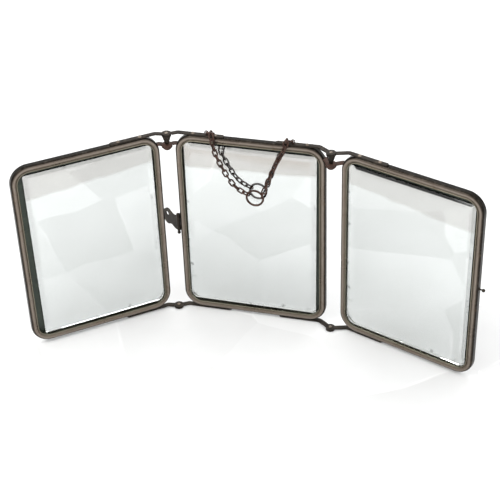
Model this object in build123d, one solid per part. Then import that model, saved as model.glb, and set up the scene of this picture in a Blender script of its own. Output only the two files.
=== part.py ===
from build123d import *
from math import cos, radians, sin, sqrt
import os

# A three-panel folding mirror: nickelled rims, bevelled glass, iron strap hinges, a hasp and a hanging chain.
# Millimetres. X runs along the centre panel, Z up, and -Y is the way the centre mirror faces. The model is
# laid out about the centre panel's middle plane and exported with the origin at the centre of its back.

# Panels
PANEL_WIDTH = 176.2
PANEL_HEIGHT = 240.0
CORNER_RADIUS = 22.0
RIM_DEPTH = 8.3
RIM_FACE = 8.0
FRONT = -RIM_DEPTH / 2
BACK = RIM_DEPTH / 2
SEAM = 0.25
SEAM_DEPTH = 0.6

# Mirror and backing, from the front of the rim to its back
GLASS_RECESS = 2.3
GLASS_THICKNESS = 4.0
GLASS_WIDTH = {"centre": 155.5, "left": 152.0, "right": 157.3}
GLASS_HEIGHT = 218.0
GLASS_CORNER = 2.0
GLASS_CLEARANCE = 0.15
BEVEL_WIDTH = 7.0
BEVEL_DROP = 1.6
SILVER = 0.2
SILVER_GAP = 0.02
COVER = 0.8
# The glasses were cut by hand to slightly different widths. How each lies loose in its rim: along X, along Z,
# and turned clockwise as the mirror is looked at
GLASS_LIE = {"centre": (-1.4, -1.2, 0.4), "left": (3.3, -1.2, -0.3), "right": (-1.1, -2.2, 0.1)}

# Hinges
HINGE_GAP = 15.4
PIVOT_X = (PANEL_WIDTH + HINGE_GAP) / 2
PIVOT_Y = {"left": -7.2, "right": -12.0}
REST_FOLD = {"left": 38.9, "right": 21.0}
STRAP_WIDTH = 5.6
STRAP_THICKNESS = 1.6
STRAP_REACH = 63.0
STRAP_RIVETS = (29.5, 55.5)
EYE_RADIUS = 5.6
EYE_THICKNESS = 1.6
EYE_CLEARANCE = 0.5
LAP = 0.3
PIN_RADIUS = 1.5
PIN_CLEARANCE = 0.05
PIN_HEAD = (2.1, 1.1)
RIVET_HEAD = (2.3, 1.6)
RIVET_SHANK = (1.1, 4.5)

# Lower leaves of the two top hinges, let into the sides of the rims
LEAF_Z = 106.5
LEAF_WIDTH = 6.4
LEAF_EYE_RADIUS = 6.2
LEAF_INSET = 12.5
SPACER = (5.1, 2.0)
NUT = (5.3, 4.0)
SPACER_GAP = 0.3

# Hasp, at half height on the centre rim's left side, and the stud that it closes over
HASP_PIN = (-PANEL_WIDTH / 2 - 2.4, -2.2)
HASP_REST = 146.0
HASP_THICKNESS = 1.5
HASP_BARREL = 2.0
HASP_PIN_RADIUS = 0.9
HASP_TOP = 11.0
HASP_BOTTOM = -12.0
HASP_KNUCKLE = 5.0
HASP_HOLE = (20.4, 2.8, 2.65)
STUD_STEM = 0.8
STUD_BALL = 2.0
STUD_REACH = 5.2

# Hanging chain
LINK_LENGTH = 10.55
LINK_WIDTH = 6.6
LINK_WIRE = 1.8
HOOK_GAP = 0.97
SWING_Y = -5.6
CHAIN_Y = -7.2
STRAND_LINKS = {"left": 13, "right": 12}
EYELET = (2.0, 0.6)
EYELET_X = {"left": -50.2, "right": 50.2}
STRAND_ROUTE = {
    "left": [(-42.2, 119.5), (-40.2, 106.0), (-35.0, 91.5), (-25.6, 73.0), (-16.5, 60.5), (-9.5, 55.6)],
    "right": [(42.4, 119.2), (35.3, 104.0), (25.5, 82.0), (18.9, 63.4)],
}
RING_CENTRE = (5.9, 48.4)
RING_RADIUS = 9.7
RING_WIRE = 1.25
RING_HOOK_Z = 52.6

SIDE = {"left": -1, "right": 1}
TOP = PANEL_HEIGHT / 2
OPENING = (PANEL_WIDTH - 2 * RIM_FACE, PANEL_HEIGHT - 2 * RIM_FACE)


def upright(shape, y):
    """A flat shape drawn in X and Z, standing at depth y and facing -Y."""
    return Pos(0, y, 0) * (Plane.XZ * shape)


def cylinder(radius, x, y, low, high):
    return Pos(x, y, (low + high) / 2) * Cylinder(radius, high - low)


def dome(radius, height):
    """A low domed head that stands on Z = 0."""
    ball = (radius**2 + height**2) / (2 * height)
    return Pos(0, 0, height - ball) * Sphere(ball) & Pos(0, 0, height / 2) * Box(3 * radius, 3 * radius, height)


def rivet():
    """A rivet at the origin: a domed head above Z = 0 and its shank below."""
    radius, depth = RIVET_SHANK
    return dome(*RIVET_HEAD) + cylinder(radius, 0, 0, -depth, 0)


# ---------------------------------------------------------------- panels

def rim_section():
    """The rolled rim: across is measured in from its outer edge, down from its front."""
    crown = ThreePointArc((0, 3.2), (0.94, 0.94), (3.2, 0)) + ThreePointArc((3.2, 0), (4.9, 0.27), (6.3, 1.0))
    bead = ThreePointArc((6.3, 1.0), (7.15, 0.25), (RIM_FACE, 1.05))
    back = Polyline((RIM_FACE, 1.05), (RIM_FACE, RIM_DEPTH), (1.0, RIM_DEPTH))
    heel = ThreePointArc((1.0, RIM_DEPTH), (0.29, RIM_DEPTH - 0.29), (0, RIM_DEPTH - 1.0))
    return make_face(crown + bead + back + heel + Line((0, RIM_DEPTH - 1.0), (0, 3.2)))


def rim():
    """One panel's rim, with the butt seam in the middle of its bottom bar."""
    seam = Pos(0, FRONT, -TOP + RIM_FACE / 2) * Box(SEAM, 2 * SEAM_DEPTH, RIM_FACE + 1)
    return bars_and_corners(rim_section()) - seam


def bars_and_corners(face):
    """Sweeps the rim's section round the panel: four straight bars and four quarter turns."""
    half_x, half_z = PANEL_WIDTH / 2 - CORNER_RADIUS, PANEL_HEIGHT / 2 - CORNER_RADIUS
    ring = None
    for turn, (reach, half) in enumerate([(PANEL_WIDTH / 2, half_z), (TOP, half_x)] * 2):
        start = Plane(origin=(reach, FRONT, -half), x_dir=(-1, 0, 0), z_dir=(0, 0, 1))
        section = start * mirror(face, Plane.XZ)
        bar = extrude(section, 2 * half, dir=(0, 0, 1))
        pivot = Axis((reach - CORNER_RADIUS, 0, half), (0, 1, 0))
        corner = revolve(Pos(0, 0, 2 * half) * section, pivot, -90)
        quarter = Rot(0, -90 * turn, 0) * (bar + corner)
        ring = quarter if ring is None else ring + quarter
    return ring


def glass(name):
    """Bevelled mirror glass: a plain slab with a bevelled front, as it lies loose in the rim."""
    width, height = GLASS_WIDTH[name], GLASS_HEIGHT
    back = FRONT + GLASS_RECESS + GLASS_THICKNESS
    shoulder = FRONT + GLASS_RECESS + BEVEL_DROP
    edge = RectangleRounded(width, height, GLASS_CORNER)
    flat = RectangleRounded(width - 2 * BEVEL_WIDTH, height - 2 * BEVEL_WIDTH, GLASS_CORNER / 4)
    slab = extrude(upright(edge, back), back - shoulder, dir=(0, -1, 0))
    bevel = loft([upright(edge, shoulder), upright(flat, shoulder - BEVEL_DROP)])
    return glass_lie(name) * (slab + bevel) & corner_room()


def corner_room():
    """The rim's opening less a little clearance: the glass's corners are nipped to it."""
    width, height = (size - 2 * GLASS_CLEARANCE for size in OPENING)
    room = RectangleRounded(width, height, CORNER_RADIUS - RIM_FACE - GLASS_CLEARANCE)
    return extrude(upright(room, FRONT), RIM_DEPTH, dir=(0, 1, 0))


def glass_lie(name):
    x, z, turn = GLASS_LIE[name]
    return Pos(x, 0, z) * Rot(0, turn, 0)


def silvering(name):
    back = FRONT + GLASS_RECESS + GLASS_THICKNESS + SILVER_GAP
    layer = extrude(upright(RectangleRounded(GLASS_WIDTH[name], GLASS_HEIGHT, GLASS_CORNER), back), SILVER, dir=(0, 1, 0))
    return glass_lie(name) * layer & corner_room()


def infill(start, end):
    """A sheet that fills the rim's opening from depth start to depth end."""
    sheet = RectangleRounded(*OPENING, CORNER_RADIUS - RIM_FACE)
    return extrude(upright(sheet, start), end - start, dir=(0, 1, 0))


def panel(name):
    """The pieces of one panel, about its own centre."""
    board = FRONT + GLASS_RECESS + GLASS_THICKNESS + SILVER_GAP + SILVER
    return {
        f"{name}_rim": rim(),
        f"{name}_glass": glass(name),
        f"{name}_silvering": silvering(name),
        f"{name}_backing_board": infill(board, BACK - COVER),
        f"{name}_back_cover": infill(BACK - COVER, BACK),
    }


# ---------------------------------------------------------------- hinges

def ribbon(points, bend, width, thickness):
    """A flat strip that lies in X and Y along points, its middle at Z = 0."""
    line = FilletPolyline(*points, radius=bend)
    start = Plane(origin=line @ 0, x_dir=(0, 0, 1), z_dir=line % 0)
    return sweep(start * Rectangle(thickness, width), path=line)


def hinge_strip(offset, reach, lead, width, eye_radius, upper):
    """A strip that runs along +X at +offset, then bends in to an eye on the pivot at the origin.

    Two strips lap at the eye, so each keeps to its own half of the height there.
    """
    strip = ribbon([(reach, offset), (lead, offset), (0, 0)], 4.0, width, STRAP_THICKNESS)
    up = 1 if upper else -1
    other_half = cylinder(eye_radius + EYE_CLEARANCE, 0, 0, -4, 4) & Pos(0, 0, up * (LAP / 2 - 5)) * Box(40, 40, 10)
    eye = Pos(0, 0, up * (LAP + EYE_THICKNESS) / 2) * Cylinder(eye_radius, EYE_THICKNESS)
    return strip - other_half + eye


def strap(side, upper):
    """A top strap in hinge coordinates, its underside at Z = 0."""
    offset = -PIVOT_Y[side]
    strip = hinge_strip(offset, STRAP_REACH, 4 + offset, STRAP_WIDTH, EYE_RADIUS, upper)
    end = Pos(STRAP_REACH, offset, 0) * Cylinder(STRAP_WIDTH / 2, STRAP_THICKNESS)
    return Pos(0, 0, STRAP_THICKNESS / 2) * (strip + end)


def strap_rivets(side):
    """The rivets through one strap, in hinge coordinates, with the strap's underside at Z = 0."""
    return [Pos(x, -PIVOT_Y[side], STRAP_THICKNESS) * rivet() for x in STRAP_RIVETS]


def lower_leaf(side, upper):
    """A top hinge's lower leaf in hinge coordinates, its middle at Z = 0. Its end is let into the rim."""
    offset = -PIVOT_Y[side]
    return hinge_strip(offset, LEAF_INSET, 0.55 * offset + 3, LEAF_WIDTH, LEAF_EYE_RADIUS, upper)


def pin_hole(clearance):
    return Cylinder(PIN_RADIUS + clearance, 2 * PANEL_HEIGHT)


def top_pin():
    """The long pin of a top hinge, with a domed head above the straps; its tail ends in the nut below."""
    head = TOP + STRAP_THICKNESS / 2 + LAP / 2 + EYE_THICKNESS
    return cylinder(PIN_RADIUS, 0, 0, nut_top() - NUT[1] + 0.8, head) + Pos(0, 0, head) * dome(*PIN_HEAD)


def bottom_pin():
    """The short pin of a bottom hinge: its domed head is on top and its tail is level with the rivets below."""
    head = -TOP - STRAP_THICKNESS / 2 + LAP / 2 + EYE_THICKNESS + 0.2
    tail = -TOP - STRAP_THICKNESS / 2 - LAP / 2 - EYE_THICKNESS
    foot = -TOP - STRAP_THICKNESS - RIVET_HEAD[1]
    shaft = cylinder(PIN_RADIUS, 0, 0, tail, head)
    return shaft + Pos(0, 0, head) * dome(*PIN_HEAD) + Pos(0, 0, tail) * Rot(180, 0, 0) * dome(2.2, tail - foot)


def spacer():
    """The conical spacer between a top hinge's straps and its lower leaves."""
    low = LEAF_Z + LAP / 2 + EYE_THICKNESS
    high = TOP + STRAP_THICKNESS / 2 - LAP / 2 - EYE_THICKNESS - SPACER_GAP
    wide, narrow = SPACER
    return Pos(0, 0, (low + high) / 2) * Cone(narrow, wide, high - low)


def domed_nut():
    """The round nut that closes a top hinge's pin from below."""
    return Pos(0, 0, nut_top()) * Rot(180, 0, 0) * dome(*NUT)


def nut_top():
    return LEAF_Z - LAP / 2 - EYE_THICKNESS - 0.3


def bottom(shape):
    """The same piece for the bottom of the panel."""
    return mirror(shape, Plane.XY)


def toward(sign, shape):
    """Hinge coordinates run along +X from the pivot; this turns a piece round for the other side of it."""
    return shape if sign > 0 else mirror(shape, Plane.YZ)


def hinge_strips(side, owner):
    """One panel's straps and lower leaf at one hinge, in hinge coordinates, with their pin and rivet holes."""
    fixed = owner == "centre"
    hole = pin_hole(0 if fixed else PIN_CLEARANCE)
    top = Pos(0, 0, TOP) * (strap(side, fixed) - Compound(strap_rivets(side))) - hole
    leaf = Pos(0, 0, LEAF_Z) * lower_leaf(side, fixed) - hole
    return {"top_strap": top, "bottom_strap": bottom(top), "lower_leaf": leaf}


def hinges():
    """All hinge pieces. Each side panel's own are laid out as if the mirror lay flat."""
    pieces = {"centre": {}, "left": {}, "right": {}}
    rivets = {"centre": [], "left": [], "right": []}
    for side, sign in SIDE.items():
        pivot = Pos(sign * PIVOT_X, PIVOT_Y[side], 0)
        for owner, way in (("centre", -sign), (side, sign)):
            suffix = f"_{side}" if owner == "centre" else ""
            for kind, shape in hinge_strips(side, owner).items():
                pieces[owner][f"{owner}_{kind}{suffix}"] = pivot * toward(way, shape)
            for one in strap_rivets(side):
                high = toward(way, Pos(0, 0, TOP) * one)
                rivets[owner] += [pivot * high, pivot * bottom(high)]
        pieces["centre"][f"{side}_top_hinge_pin"] = pivot * top_pin()
        pieces["centre"][f"{side}_bottom_hinge_pin"] = pivot * bottom_pin()
        pieces["centre"][f"{side}_hinge_spacer"] = pivot * (spacer() - pin_hole(0))
        pieces["centre"][f"{side}_hinge_nut"] = pivot * (domed_nut() - top_pin())
    return pieces, rivets


# ---------------------------------------------------------------- hasp and stud

def hasp_outline():
    """The hasp leaf's lobed outline: along is measured from the pin, up from half height."""
    top = Spline((2.4, 9.6), (6.5, 6.4), (12.0, 7.3), (18.6, 10.4), (24.6, 8.0), (28.0, -0.2))
    low = Spline((28.0, -0.2), (25.0, -9.2), (18.9, -11.3), (13.6, -9.2), (8.4, -11.2), (2.4, -12.0))
    return make_face(top + low + Line((2.4, -12.0), (2.4, 9.6)))


def hasp_leaf():
    """The leaf, its middle knuckle and the hole that drops over the stud, pointing along +X from the pin."""
    along, up, radius = HASP_HOLE
    plate = extrude(upright(hasp_outline(), HASP_THICKNESS / 2), HASP_THICKNESS, dir=(0, -1, 0))
    root = Pos(1.6, 0, 0) * Box(3.2, HASP_THICKNESS, 2 * HASP_KNUCKLE)
    rib = Pos(15.5, -HASP_THICKNESS / 2, -3.6) * Rot(0, 14, 0) * Box(15, 0.9, 1.3)
    hole = Pos(along, 0, up) * Rot(90, 0, 0) * Cylinder(radius, 10)
    barrel = cylinder(HASP_BARREL, 0, 0, -HASP_KNUCKLE, HASP_KNUCKLE)
    bore = cylinder(HASP_PIN_RADIUS + PIN_CLEARANCE, 0, 0, -20, 20)
    return plate + root + rib + barrel - hole - bore


def hasp_base():
    """The base plate on the rim's side, with the two outer knuckles."""
    face = -PANEL_WIDTH / 2
    x, y = HASP_PIN
    plate = Pos(face - 0.45, 1.1, (HASP_TOP + HASP_BOTTOM) / 2) * Box(0.9, 4.2, HASP_TOP - HASP_BOTTOM)
    window = cylinder(HASP_BARREL + 0.3, x, y, -HASP_KNUCKLE - 0.3, HASP_KNUCKLE + 0.3)
    knuckles = cylinder(HASP_BARREL, x, y, HASP_KNUCKLE + 0.3, HASP_TOP)
    knuckles += cylinder(HASP_BARREL, x, y, HASP_BOTTOM, -HASP_KNUCKLE - 0.3)
    web = Pos((x + face) / 2, y + 1.2, 0) * Box(abs(x - face), 1.2, 60)
    web &= cylinder(4, x, y, HASP_KNUCKLE + 0.3, HASP_TOP) + cylinder(4, x, y, HASP_BOTTOM, -HASP_KNUCKLE - 0.3)
    return plate - window + knuckles + web - cylinder(HASP_PIN_RADIUS, x, y, -20, 20)


def hasp_screws():
    """Two small screws through the base plate into the rim, their heads outward."""
    screw = dome(1.3, 0.6) + cylinder(0.7, 0, 0, -3.5, 0)
    return [Pos(-PANEL_WIDTH / 2 - 0.9, 1.7, z) * Rot(0, -90, 0) * screw for z in (HASP_TOP - 2.5, HASP_BOTTOM + 2.5)]


def hasp_pin():
    """The hasp's pin, with a small cap above and a ball end below."""
    x, y = HASP_PIN
    shaft = cylinder(HASP_PIN_RADIUS, x, y, HASP_BOTTOM - 1.5, HASP_TOP)
    ball = Pos(x, y, HASP_BOTTOM - 3.0) * Sphere(2.1)
    return shaft + Pos(x, y, HASP_TOP) * dome(1.6, 1.1) + ball


def latch_stud():
    """The ball stud on the right panel's outer side, about that panel's centre."""
    collar = Cone(2.1, STUD_STEM, 1.4)
    root = Cylinder(STUD_STEM, 2.5)
    stem = Cylinder(STUD_STEM, STUD_REACH)
    stud = Pos(0, 0, 0.7) * collar + Pos(0, 0, -1.25) * root + Pos(0, 0, STUD_REACH / 2) * stem
    stud += Pos(0, 0, STUD_REACH) * Sphere(STUD_BALL)
    return Pos(PANEL_WIDTH / 2, 0, HASP_HOLE[1]) * Rot(0, 90, 0) * stud


# ---------------------------------------------------------------- chain

def link(centre, along, across):
    """One chain link: an oval of round wire, long way along, wide way across."""
    along, across = Vector(*along).normalized(), Vector(*across)
    across = (across - along * along.dot(across)).normalized()
    radius = (LINK_WIDTH - LINK_WIRE) / 2
    straight = (LINK_LENGTH - LINK_WIRE) / 2 - radius
    wire = LINK_WIRE / 2
    made = None
    for end in (1, -1):
        bow = revolve(Pos(0, radius, 0) * (Plane.YZ * Circle(wire)), Axis.Z, -180)
        bow = Pos(straight, 0, 0) * bow
        side = Pos(0, radius, 0) * (Rot(0, 90, 0) * Cylinder(wire, 2 * straight))
        half = Rot(0, 0, 0 if end > 0 else 180) * (bow + side)
        made = half if made is None else made + half
    return Plane(origin=centre, x_dir=along, z_dir=along.cross(across)).location * made


def eyelet(side):
    """The eye that a strand is anchored to, standing on the strap's end."""
    ring, wire = EYELET
    foot = TOP + STRAP_THICKNESS
    loop = Pos(0, 0, foot + ring + wire) * Rot(90, 0, 0) * Torus(ring, wire)
    stem = cylinder(1.0, 0, 0, foot, foot + 2 * wire)
    hole = Pos(0, 0, foot + ring + wire) * Rot(90, 0, 0) * Cylinder(ring - wire, 10)
    return Pos(EYELET_X[side], 0, 0) * (loop + stem - hole)


def link_bar():
    """From the middle of one end's wire to the middle of the other's, and to the middle of the far bow."""
    bar = LINK_LENGTH - LINK_WIRE
    return bar, bar - (LINK_WIDTH - LINK_WIRE) / 2


def anchor_hooks(side):
    """Where the two fixed links start, and the point on the swing line that the strand hangs from."""
    bow = link_bar()[1]
    start = Vector(EYELET_X[side], 0, TOP + STRAP_THICKNESS + sum(EYELET))
    first = start + Vector(-SIDE[side] * bow, 0, 0)
    return start, first, first + Vector(0, SWING_Y, sqrt(bow**2 - SWING_Y**2))


def anchor_links(side):
    """The two links that lie bunched on top of the rim beside the eyelet."""
    start, first, swing = anchor_hooks(side)
    half = link_bar()[0] / 2
    inward = Vector(-SIDE[side], 0, 0)
    lean = (swing - first).normalized()
    lying = link(start + inward * half, inward, lean)
    leaning = link(first + lean * half, lean, lean.cross(inward))
    return [lying, leaning]


def strand(side):
    """The hanging strand: its links follow a smooth route from the anchor to the ring, each turned on the last."""
    count = STRAND_LINKS[side]
    bar = link_bar()[0]
    reach = sqrt(RING_RADIUS**2 - (RING_HOOK_Z - RING_CENTRE[1]) ** 2)
    hook = Vector(RING_CENTRE[0] + SIDE[side] * reach, CHAIN_Y, RING_HOOK_Z)
    turning = [(x, CHAIN_Y, z) for x, z in STRAND_ROUTE[side]]
    route = Spline(anchor_hooks(side)[2], *turning, hook)
    first = bar - HOOK_GAP
    last = bar - ring_gap(side, route % 1) - HOOK_GAP
    pitch = (route.length - first - last) / (count - 2)
    stops = [0.0] + [first + pitch * i for i in range(count - 1)] + [route.length]
    joints = [route @ (stop / route.length) for stop in stops]
    links = []
    for i in range(count):
        along = (joints[i + 1] - joints[i]).normalized()
        middle = joints[i] + along * (bar / 2 - (0 if i == 0 else (bar - pitch) / 2))
        sideways = along.cross(Vector(0, 1, 0)).normalized()
        turn = radians(link_turn(i, count))
        links.append(link(middle, along, sideways * cos(turn) + along.cross(sideways) * sin(turn)))
    return links


def link_turn(i, count):
    """How far link i is turned from facing forward: first flat, then crosswise in turn, last edge-on."""
    if i == 0:
        return 0.0
    settle = 45.0 * max(0, i - (count - 7)) / 6
    side = 1 if i % 2 == (count - 1) % 2 else -1
    return side * (54.0 if i == 1 else 45.0) + settle


def ring_gap(side, along):
    """How far past the ring's wire a link reaches when it comes in aslant to it."""
    lean = (RING_HOOK_Z - RING_CENTRE[1]) / RING_RADIUS
    wire_way = Vector(-SIDE[side] * lean, 0, sqrt(1 - lean**2))
    slant = along.dot(wire_way)
    return (RING_WIRE + LINK_WIRE / 2 + 0.5) / sqrt(1 - slant**2)


def hanging_ring():
    return Pos(RING_CENTRE[0], CHAIN_Y, RING_CENTRE[1]) * Rot(90, 0, 0) * Torus(RING_RADIUS, RING_WIRE)


# ---------------------------------------------------------------- assembly

def at_rest(side):
    """Carries a piece of a side panel from lying flat to its folded place."""
    sign = SIDE[side]
    pivot = (sign * PIVOT_X, PIVOT_Y[side], 0)
    return Pos(*pivot) * Rot(0, 0, -sign * REST_FOLD[side]) * Pos(*[-v for v in pivot])


def assemble():
    hinge, rivets = hinges()
    screws = hasp_screws()
    leaves = [hinge["centre"][f"centre_lower_leaf_{side}"] for side in SIDE]
    pieces = {**panel("centre"), **hinge["centre"]}
    pieces["centre_rim"] -= Compound(rivets["centre"] + screws + leaves)
    pieces["centre_strap_rivets"] = Compound(rivets["centre"])
    pieces["hasp_base"] = hasp_base() - Compound(screws)
    pieces["hasp_base_screws"] = Compound(screws)
    pieces["hasp_pin"] = hasp_pin()
    pieces["hasp_leaf"] = Pos(*HASP_PIN, 0) * Rot(0, 0, HASP_REST) * hasp_leaf()
    for side, sign in SIDE.items():
        place = Pos(sign * 2 * PIVOT_X, 0, 0)
        own = {name: place * shape for name, shape in panel(side).items()}
        own[f"{side}_rim"] -= Compound(rivets[side] + [hinge[side][f"{side}_lower_leaf"]])
        own[f"{side}_strap_rivets"] = Compound(rivets[side])
        if side == "right":
            own["latch_stud"] = place * latch_stud()
            own["right_rim"] -= own["latch_stud"]
        for name, shape in {**own, **hinge[side]}.items():
            pieces[name] = at_rest(side) * shape
        pieces[f"{side}_chain_anchor_links"] = Compound(anchor_links(side))
        pieces[f"{side}_chain_strand"] = Compound(strand(side))
    pieces["chain_eyelets"] = Compound([eyelet(side) for side in SIDE])
    pieces["hanging_ring"] = hanging_ring()
    return pieces


os.makedirs("parts", exist_ok=True)
for node, solid in assemble().items():
    export_step(Pos(0, -BACK, 0) * solid, f"parts/{node}.step")
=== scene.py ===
import math

import bpy
from mathutils import Matrix, Vector


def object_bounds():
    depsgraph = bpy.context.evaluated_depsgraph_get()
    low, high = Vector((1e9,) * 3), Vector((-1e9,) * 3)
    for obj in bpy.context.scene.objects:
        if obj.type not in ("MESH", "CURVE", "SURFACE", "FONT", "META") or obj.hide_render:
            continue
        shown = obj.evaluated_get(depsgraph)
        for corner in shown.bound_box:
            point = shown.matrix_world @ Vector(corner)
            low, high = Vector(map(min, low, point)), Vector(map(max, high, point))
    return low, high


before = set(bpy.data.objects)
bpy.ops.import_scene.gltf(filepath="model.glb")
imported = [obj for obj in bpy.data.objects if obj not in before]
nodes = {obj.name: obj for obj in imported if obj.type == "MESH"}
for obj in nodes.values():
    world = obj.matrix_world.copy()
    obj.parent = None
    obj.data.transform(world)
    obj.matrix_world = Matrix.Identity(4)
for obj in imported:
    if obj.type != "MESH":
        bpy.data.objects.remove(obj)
cad_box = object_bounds()

# ---------------------------------------------------------------- the panels, in metres

PANEL = (0.1762, 0.240)
CORNER = 0.022
GAP = 0.0154
BACK = 0.00415
PIVOT_X = (PANEL[0] + GAP) / 2
PIVOT_Y = {"left": -0.0072, "right": -0.0120}
FOLD = {"centre": 0.0, "left": math.radians(38.9), "right": math.radians(-21.0)}


# About how large the silvering is, with its corner radius
COATING = (0.156, 0.218)
COATING_CORNER = 0.002
# The painted reflection across the top of each coating, a beige band: the height it starts at, its slope, and
# how strong it is
PAINTED_REFLECTION_BAND = {"centre": (0.084, -0.03, 1.0), "left": (0.086, -0.08, 0.85), "right": (0.082, 0.08, 0.7)}
PAINTED_REFLECTION_BAND_EDGE = 0.004

# ---------------------------------------------------------------- stage and camera, in metres and degrees

FLOOR_HALF = 6.0
FLOOR_CELLS = 8.0
FLOOR_BEIGE_Y = (-0.325, -0.345)
FLOOR_PLAIN = (0.45, 0.65)

CAMERA_AZIMUTH = 15.869
CAMERA_ELEVATION = 34.309
CAMERA_ROLL = -2.108
CAMERA_TARGET = (-0.0042, -BACK, -0.0300)
CAMERA_DISTANCE = 1.5805
SENSOR = 36.0
LENS = 95.8896

WORLD_COLOUR = (1.0, 0.995, 0.985, 1)
WORLD_STRENGTH = 1.1
# Each lamp's place, size, power and colour
LIGHTS = {
    "key": ((-1.0, -1.0, 1.7), (0.9, 0.9), 20, (1.0, 0.985, 0.96)),
    "fill": ((1.5, -0.7, 1.1), (1.2, 0.8), 9, (0.97, 0.985, 1.0)),
    "top": ((0.0, 0.7, 1.6), (1.4, 0.5), 9, (1.0, 1.0, 1.0)),
}


def panel_matrix(name):
    """From the row frame to the panel's own: X across, Y back, Z up, about the centre of its middle plane."""
    lift = Matrix.Translation((0, BACK, 0))
    if name == "centre":
        return lift
    sign = -1 if name == "left" else 1
    pivot = Vector((sign * PIVOT_X, PIVOT_Y[name], 0))
    turn = Matrix.Rotation(-FOLD[name], 4, "Z")
    return Matrix.Translation((-sign * PIVOT_X, PIVOT_Y[name], 0)) @ turn @ Matrix.Translation(-pivot) @ lift


# ---------------------------------------------------------------- shader helpers


class Shader:
    """A material being built: short calls that add a node and return its output."""

    def __init__(self, name):
        self.material = bpy.data.materials.new(name)
        self.material.use_nodes = True
        self.tree = self.material.node_tree
        self.bsdf = self.tree.nodes["Principled BSDF"]
        self.place = self.add("ShaderNodeTexCoord").outputs["Object"]

    def add(self, kind, **settings):
        node = self.tree.nodes.new(kind)
        for key, value in settings.items():
            setattr(node, key, value)
        return node

    def link(self, value, socket):
        if isinstance(value, bpy.types.NodeSocket):
            self.tree.links.new(value, socket)
        else:
            socket.default_value = value

    def math(self, operation, a, b=0.0, clamp=False):
        node = self.add("ShaderNodeMath", operation=operation, use_clamp=clamp)
        self.link(a, node.inputs[0])
        self.link(b, node.inputs[1])
        return node.outputs[0]

    def noise(self, scale, detail=4.0, rough=0.6, at=None, warp=0.0):
        node = self.add("ShaderNodeTexNoise")
        self.link(at or self.place, node.inputs["Vector"])
        node.inputs["Scale"].default_value = scale
        node.inputs["Detail"].default_value = detail
        node.inputs["Roughness"].default_value = rough
        node.inputs["Distortion"].default_value = warp
        return node.outputs["Fac"]

    def crosswise(self, value):
        """A vector with the same number in X and, turned about, in Y."""
        node = self.add("ShaderNodeCombineXYZ")
        self.link(value, node.inputs["X"])
        self.link(self.math("SUBTRACT", 1.0, value), node.inputs["Y"])
        return node.outputs[0]

    def spots(self, scale, low, high, at=None, chance=1.0):
        """Round specks: 1 in a speck's middle and 0 outside it, in only some of the cells."""
        node = self.add("ShaderNodeTexVoronoi", feature="F1")
        self.link(at or self.place, node.inputs["Vector"])
        node.inputs["Scale"].default_value = scale
        near = self.fade(node.outputs["Distance"], high, low)
        if chance >= 1.0:
            return near
        pick = self.add("ShaderNodeSeparateColor")
        self.link(node.outputs["Color"], pick.inputs[0])
        return self.math("MULTIPLY", near, self.math("LESS_THAN", pick.outputs[0], chance))

    def fade(self, value, start, end):
        """0 at start and 1 at end, held beyond them."""
        node = self.add("ShaderNodeMapRange", clamp=True)
        self.link(value, node.inputs["Value"])
        node.inputs["From Min"].default_value = start
        node.inputs["From Max"].default_value = end
        return node.outputs["Result"]

    def ramp(self, value, *stops):
        node = self.add("ShaderNodeValToRGB")
        self.link(value, node.inputs["Fac"])
        band = node.color_ramp
        band.elements[0].position = stops[0][0]
        band.elements[0].color = (*stops[0][1], 1.0)
        band.elements[1].position = stops[-1][0]
        band.elements[1].color = (*stops[-1][1], 1.0)
        for spot, colour in stops[1:-1]:
            band.elements.new(spot).color = (*colour, 1.0)
        return node.outputs["Color"]

    def mix(self, amount, a, b, blend="MIX"):
        node = self.add("ShaderNodeMix", data_type="RGBA", blend_type=blend)
        self.link(amount, node.inputs["Factor"])
        for value, socket in ((a, node.inputs["A"]), (b, node.inputs["B"])):
            self.link((*value, 1.0) if isinstance(value, tuple) else value, socket)
        return node.outputs["Result"]

    def bump(self, height, depth, distance=0.0002):
        node = self.add("ShaderNodeBump")
        self.link(height, node.inputs["Height"])
        node.inputs["Strength"].default_value = depth
        node.inputs["Distance"].default_value = distance
        self.tree.links.new(node.outputs["Normal"], self.bsdf.inputs["Normal"])

    def surface(self, colour, roughness, metal):
        self.link((*colour, 1.0) if isinstance(colour, tuple) else colour, self.bsdf.inputs["Base Color"])
        self.link(roughness, self.bsdf.inputs["Roughness"])
        self.link(metal, self.bsdf.inputs["Metallic"])

    def panel_place(self, name):
        """Coordinates in a panel's own frame."""
        matrix = panel_matrix(name)
        node = self.add("ShaderNodeMapping", vector_type="POINT")
        self.link(self.place, node.inputs["Vector"])
        node.inputs["Location"].default_value = matrix.to_translation()
        node.inputs["Rotation"].default_value = matrix.to_euler()
        return node.outputs["Vector"]

    def inward(self, place, size, corner):
        """Distance in from the edge of a rounded rectangle that stands in X and Z."""
        parts = self.add("ShaderNodeSeparateXYZ")
        self.link(place, parts.inputs[0])
        x = self.math("SUBTRACT", self.math("ABSOLUTE", parts.outputs["X"]), size[0] / 2 - corner)
        z = self.math("SUBTRACT", self.math("ABSOLUTE", parts.outputs["Z"]), size[1] / 2 - corner)
        outer_x, outer_z = self.math("MAXIMUM", x, 0.0), self.math("MAXIMUM", z, 0.0)
        square_x = self.math("MULTIPLY", outer_x, outer_x)
        square_z = self.math("MULTIPLY", outer_z, outer_z)
        square = self.math("ADD", square_x, square_z)
        inner = self.math("MINIMUM", self.math("MAXIMUM", x, z), 0.0)
        edge = self.math("ADD", self.math("SQRT", square), inner)
        return self.math("SUBTRACT", corner, edge)


# ---------------------------------------------------------------- materials


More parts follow.
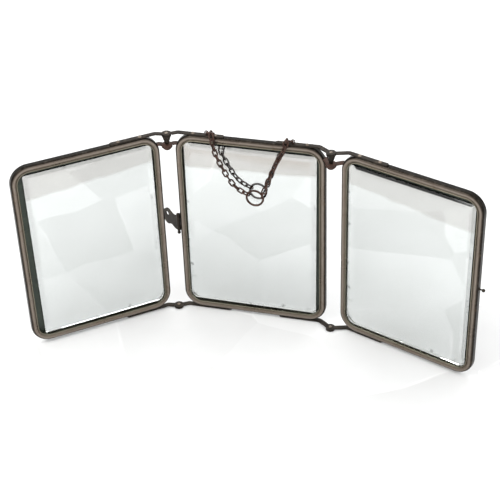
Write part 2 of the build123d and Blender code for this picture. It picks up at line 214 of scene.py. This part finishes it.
def rim_nickel(name):
    """Worn nickel plate: brown-grey on the face, with painted shade at the outer edge and in a groove before
    the bead, a painted highlight just inside the outer edge, and brighter on the bead.
    """
    s = Shader(f"worn_nickel_{name}")
    place = s.panel_place(name)
    across = s.inward(place, PANEL, CORNER)
    wander = s.math("MULTIPLY", s.math("SUBTRACT", s.noise(70, 3, 0.5, place), 0.5), 0.0009)
    band = s.fade(s.math("ADD", across, wander), 0.0, 0.008)
    # Painted light and shade across the rim: painted shade on the outer edge, a painted highlight at 0.40,
    # painted shade in the groove at 0.78, then the brighter bead at 0.87.
    plate = s.ramp(
        band,
        (0.0, (0.009, 0.007, 0.005)),
        (0.15, (0.020, 0.016, 0.012)),
        (0.26, (0.130, 0.108, 0.090)),
        (0.40, (0.270, 0.232, 0.198)),
        (0.56, (0.185, 0.155, 0.127)),
        (0.70, (0.155, 0.130, 0.104)),
        (0.78, (0.090, 0.077, 0.058)),
        (0.87, (0.215, 0.195, 0.150)),
        (1.0, (0.110, 0.110, 0.082)),
    )
    cloud = s.fade(s.noise(24, 6, 0.6, place, 0.3), 0.36, 0.66)
    plate = s.mix(cloud, s.mix(0.35, plate, (0.50, 0.40, 0.33), "MULTIPLY"), plate)
    streak = s.fade(s.noise(300, 3, 0.5, place), 0.5, 0.8)
    plate = s.mix(s.math("MULTIPLY", streak, 0.10), plate, (0.33, 0.29, 0.24))
    brown = s.math("MULTIPLY", s.fade(s.noise(48, 5, 0.65, place, 0.5), 0.60, 0.72), 0.6)
    plate = s.mix(brown, plate, (0.10, 0.068, 0.042))
    fine, coarse = s.spots(600, 0.06, 0.20, place, 0.16), s.spots(200, 0.03, 0.11, place, 0.3)
    pits = s.math("MAXIMUM", fine, coarse)
    plate = s.mix(s.math("MULTIPLY", pits, 0.85), plate, (0.02, 0.014, 0.01))
    satin = s.math("ADD", 0.25, s.math("MULTIPLY", cloud, 0.10))
    rough = s.math("ADD", s.math("MULTIPLY", brown, 0.3), satin)
    s.surface(plate, s.math("ADD", rough, s.math("MULTIPLY", pits, 0.3), True), 0.9)
    height = s.math("SUBTRACT", s.math("MULTIPLY", s.noise(260, 4, 0.55, place), 0.35), pits)
    s.bump(height, 0.25)
    return s.material


def mirror_glass(name):
    """Clear plate with a faint green cast, a few dust specks and faint patches of haze."""
    s = Shader(f"plate_glass_{name}")
    s.bsdf.inputs["Transmission Weight"].default_value = 1.0
    s.bsdf.inputs["IOR"].default_value = 1.5
    place = s.panel_place(name)
    haze = s.math("MULTIPLY", s.fade(s.noise(45, 5, 0.6, place), 0.55, 0.8), 0.012)
    specks = s.math("MULTIPLY", s.spots(120, 0.02, 0.05, place, 0.2), 0.25)
    tint = s.mix(specks, (0.985, 0.995, 0.988), (0.62, 0.60, 0.56))
    s.surface(tint, s.math("ADD", haze, specks), 0.0)
    return s.material


def silvering(name):
    """The mirror coating: dark spots, more of them towards its edges, and a painted reflection across its
    top, a beige band.
    """
    s = Shader(f"silvering_{name}")
    place = s.panel_place(name)
    near_edge = s.fade(s.inward(place, COATING, COATING_CORNER), 0.006, 0.001)
    rot = s.math("MULTIPLY", near_edge, s.fade(s.noise(90, 5, 0.6, place), 0.60, 0.70))
    rare = s.math("MULTIPLY", s.spots(60, 0.025, 0.06, place, 0.12), 0.8)
    bloom = s.math("MULTIPLY", s.fade(s.noise(16, 4, 0.6, place), 0.35, 0.75), 0.05)
    loss = s.math("MAXIMUM", s.math("MULTIPLY", rot, 0.7), rare)
    base = s.mix(bloom, (0.735, 0.745, 0.750), (0.56, 0.545, 0.52))
    parts = s.add("ShaderNodeSeparateXYZ")
    s.link(place, parts.inputs[0])
    # Painted reflection: a beige band multiplied into the coating's colour across its top, the same from
    # every view.
    start, slope, strength = PAINTED_REFLECTION_BAND[name]
    tilt = s.math("MULTIPLY", parts.outputs["X"], slope)
    wave = s.math("MULTIPLY", s.noise(14, 3, 0.5, place), 0.016)
    height = s.math("ADD", s.math("ADD", parts.outputs["Z"], tilt), wave)
    band = s.math("MULTIPLY", s.fade(height, start, start + PAINTED_REFLECTION_BAND_EDGE), strength)
    base = s.mix(band, base, (0.74, 0.71, 0.69), "MULTIPLY")
    rough = s.math("ADD", s.math("MULTIPLY", loss, 0.45), 0.015)
    s.surface(s.mix(loss, base, (0.06, 0.065, 0.05)), rough, 1.0)
    return s.material


def backing_board(name):
    """Dark green-black board, seen as a green-black line round the glass."""
    s = Shader(f"backing_board_{name}")
    place = s.panel_place(name)
    grain = s.noise(70, 8, 0.7, place, 1.5)
    colour = s.ramp(
        grain,
        (0.25, (0.012, 0.018, 0.013)),
        (0.55, (0.030, 0.042, 0.030)),
        (0.8, (0.065, 0.075, 0.052)),
    )
    s.surface(colour, s.math("ADD", 0.5, s.math("MULTIPLY", grain, 0.3)), 0.0)
    s.bump(grain, 0.4)
    return s.material


def back_cover(name):
    """Old brown-black paint on tinplate, rubbed through to bare metal in places."""
    s = Shader(f"painted_tinplate_{name}")
    place = s.panel_place(name)
    tone = s.noise(22, 8, 0.65, place, 0.6)
    dull = s.ramp(
        tone,
        (0.3, (0.028, 0.021, 0.016)),
        (0.5, (0.050, 0.038, 0.029)),
        (0.72, (0.085, 0.066, 0.050)),
    )
    rub = s.fade(s.noise(38, 9, 0.75, place, 1.2), 0.62, 0.68)
    bare = s.ramp(s.noise(120, 4, 0.6, place), (0.3, (0.20, 0.15, 0.11)), (0.7, (0.36, 0.31, 0.26)))
    fleck = s.spots(180, 0.05, 0.13, place, 0.18)
    worn = s.math("MAXIMUM", rub, fleck)
    rough = s.math("ADD", 0.42, s.math("MULTIPLY", tone, 0.3))
    s.surface(s.mix(worn, dull, bare), rough, s.math("MULTIPLY", worn, 0.7))
    s.bump(s.math("SUBTRACT", tone, s.math("MULTIPLY", worn, 0.6)), 0.3)
    return s.material


def old_iron(name, dark, mid, light, rust, metal, rust_share):
    """Handled iron: a dark skin, paler where it is rubbed, with rust in patches and grains."""
    s = Shader(name)
    cloud = s.noise(110, 8, 0.7, None, 0.5)
    skin = s.ramp(cloud, (0.30, dark), (0.52, mid), (0.74, light))
    patch = s.fade(s.noise(230, 7, 0.75, None, 0.8), 0.66 - 0.3 * rust_share, 0.74 - 0.3 * rust_share)
    grains = s.spots(900, 0.12, 0.3, None, 0.4)
    skin = s.mix(s.math("MULTIPLY", patch, 0.85), skin, rust)
    skin = s.mix(s.math("MULTIPLY", grains, 0.6), skin, tuple(c * 0.35 for c in mid))
    rough = s.math("ADD", 0.40 + 0.2 * rust_share, s.math("MULTIPLY", patch, 0.25), True)
    bare = s.math("SUBTRACT", 1.0, s.math("MULTIPLY", patch, 0.7))
    s.surface(skin, rough, s.math("MULTIPLY", bare, metal))
    s.bump(s.math("SUBTRACT", s.noise(600, 5, 0.65), s.math("MULTIPLY", grains, 0.5)), 0.45, 0.00015)
    return s.material


def paint(node, material):
    mesh = nodes[node].data
    mesh.materials.clear()
    mesh.materials.append(material)


strap_iron = old_iron(
    "strap_iron",
    dark=(0.010, 0.008, 0.006),
    mid=(0.026, 0.020, 0.015),
    light=(0.085, 0.068, 0.053),
    rust=(0.045, 0.023, 0.013),
    metal=0.75,
    rust_share=0.18,
)
rusted_iron = old_iron(
    "rusted_iron",
    dark=(0.020, 0.012, 0.009),
    mid=(0.046, 0.025, 0.018),
    light=(0.090, 0.055, 0.040),
    rust=(0.070, 0.028, 0.017),
    metal=0.45,
    rust_share=0.65,
)
chain_iron = old_iron(
    "chain_iron",
    dark=(0.020, 0.011, 0.008),
    mid=(0.052, 0.027, 0.020),
    light=(0.130, 0.080, 0.060),
    rust=(0.075, 0.030, 0.018),
    metal=0.55,
    rust_share=0.5,
)
rivet_iron = old_iron(
    "rivet_iron",
    dark=(0.060, 0.048, 0.038),
    mid=(0.17, 0.140, 0.115),
    light=(0.42, 0.37, 0.32),
    rust=(0.10, 0.050, 0.028),
    metal=0.85,
    rust_share=0.2,
)
pin_steel = old_iron(
    "pin_steel",
    dark=(0.10, 0.080, 0.064),
    mid=(0.24, 0.205, 0.172),
    light=(0.48, 0.44, 0.39),
    rust=(0.12, 0.065, 0.036),
    metal=0.9,
    rust_share=0.2,
)

# The endings of the names that each iron is painted on
IRONWORK = (
    (strap_iron, ("_strap", "_strap_left", "_strap_right", "_spacer")),
    (strap_iron, ("hasp_base", "hasp_leaf", "hasp_pin", "latch_stud")),
    (rusted_iron, ("_lower_leaf", "_lower_leaf_left", "_lower_leaf_right", "_hinge_nut")),
    (pin_steel, ("_hinge_pin",)),
    (chain_iron, ("_anchor_links", "_strand", "chain_eyelets", "hanging_ring")),
    (rivet_iron, ("_rivets", "_screws")),
)

for panel in FOLD:
    paint(f"{panel}_rim", rim_nickel(panel))
    paint(f"{panel}_glass", mirror_glass(panel))
    paint(f"{panel}_silvering", silvering(panel))
    paint(f"{panel}_backing_board", backing_board(panel))
    paint(f"{panel}_back_cover", back_cover(panel))

for material, endings in IRONWORK:
    for node in nodes:
        if node.endswith(endings):
            paint(node, material)

# ---------------------------------------------------------------- stage


def painted_crease_shading(s, bend):
    """Painted light and shade of a creased sheet close to the mirror: flat facets in different greys as
    painted shading, with pale creases between some of them as painted highlights.
    """
    warp = s.add("ShaderNodeVectorMath", operation="SCALE")
    s.link(s.crosswise(bend), warp.inputs[0])
    warp.inputs["Scale"].default_value = 0.05
    shifted = s.add("ShaderNodeVectorMath", operation="ADD")
    s.link(s.place, shifted.inputs[0])
    s.link(warp.outputs[0], shifted.inputs[1])
    facets = s.add("ShaderNodeTexVoronoi", feature="F1", voronoi_dimensions="2D")
    creases = s.add("ShaderNodeTexVoronoi", feature="DISTANCE_TO_EDGE", voronoi_dimensions="2D")
    for cells in (facets, creases):
        s.link(shifted.outputs[0], cells.inputs["Vector"])
        cells.inputs["Scale"].default_value = FLOOR_CELLS
    shade = s.add("ShaderNodeSeparateColor")
    s.link(facets.outputs["Color"], shade.inputs[0])
    facet, cloud = s.math("MULTIPLY", shade.outputs[0], 0.6), s.math("MULTIPLY", s.noise(11, 3, 0.5), 0.4)
    # Painted shading: each facet gets its own grey, as if turned differently to the light.
    sheet = s.ramp(s.math("ADD", facet, cloud), (0.25, (0.72, 0.725, 0.728)), (0.75, (0.88, 0.89, 0.895)))
    line, some = s.fade(creases.outputs["Distance"], 0.022, 0.004), s.fade(s.noise(6, 2, 0.5), 0.45, 0.62)
    # Painted highlights: pale creases between some of the facets.
    return s.mix(s.math("MULTIPLY", line, some), sheet, (0.99, 0.995, 1.0))


def pale_sheet():
    """Painted crease shading for the mirrors to reflect, beige in front, then one plain tone further away."""
    s = Shader("pale_sheet")
    bend = s.noise(5.0, 2, 0.5)
    sheet = painted_crease_shading(s, bend)
    parts = s.add("ShaderNodeSeparateXYZ")
    s.link(s.place, parts.inputs[0])
    wavy_y = s.math("ADD", parts.outputs["Y"], s.math("MULTIPLY", bend, 0.05))
    near = s.mix(s.fade(wavy_y, *FLOOR_BEIGE_Y), sheet, s.mix(0.75, sheet, (0.68, 0.65, 0.63)))
    reach = s.add("ShaderNodeVectorMath", operation="LENGTH")
    s.link(s.place, reach.inputs[0])
    away = s.fade(reach.outputs["Value"], *FLOOR_PLAIN)
    s.surface(s.mix(away, near, (0.80, 0.806, 0.808)), 0.9, 0.0)
    return s.material


def floor():
    """The sheet that the mirror stands on."""
    low, far = cad_box[0].z, FLOOR_HALF
    mesh = bpy.data.meshes.new("floor")
    corners = [(-far, -far, low), (far, -far, low), (far, far, low), (-far, far, low)]
    mesh.from_pydata(corners, [], [(0, 1, 2, 3)])
    mesh.materials.append(pale_sheet())
    plane = bpy.data.objects.new("floor", mesh)
    bpy.context.scene.collection.objects.link(plane)


# ---------------------------------------------------------------- light and camera


def soft_light(name, place, size, power, colour):
    """A soft rectangular lamp that faces the mirror."""
    lamp = bpy.data.lights.new(name, "AREA")
    lamp.shape = "RECTANGLE"
    lamp.size, lamp.size_y = size
    lamp.energy = power
    lamp.color = colour
    holder = bpy.data.objects.new(name, lamp)
    holder.location = place
    holder.rotation_mode = "QUATERNION"
    holder.rotation_quaternion = (-Vector(place)).to_track_quat("-Z", "Y")
    bpy.context.scene.collection.objects.link(holder)


def camera():
    """A view from 34 degrees up, a little to the right, with a long lens."""
    azimuth, elevation = math.radians(CAMERA_AZIMUTH), math.radians(CAMERA_ELEVATION)
    level_way = Vector((math.sin(azimuth), -math.cos(azimuth), 0))
    back = level_way * math.cos(elevation) + Vector((0, 0, math.sin(elevation)))
    right = Vector((math.cos(azimuth), math.sin(azimuth), 0))
    level = Matrix((right, back.cross(right), back)).transposed()
    data = bpy.data.cameras.new("camera")
    data.sensor_width = SENSOR
    data.lens = LENS
    data.clip_start, data.clip_end = 0.05, 50
    holder = bpy.data.objects.new("camera", data)
    holder.rotation_mode = "QUATERNION"
    holder.rotation_quaternion = (level @ Matrix.Rotation(math.radians(CAMERA_ROLL), 3, "Z")).to_quaternion()
    holder.location = Vector(CAMERA_TARGET) + back * CAMERA_DISTANCE
    bpy.context.scene.collection.objects.link(holder)
    bpy.context.scene.camera = holder


def studio():
    world = bpy.data.worlds.new("studio")
    world.use_nodes = True
    background = world.node_tree.nodes["Background"]
    background.inputs["Color"].default_value = WORLD_COLOUR
    background.inputs["Strength"].default_value = WORLD_STRENGTH
    bpy.context.scene.world = world
    bpy.context.scene.view_settings.view_transform = "Standard"
    for name, settings in LIGHTS.items():
        soft_light(name, *settings)


floor()
studio()
camera()
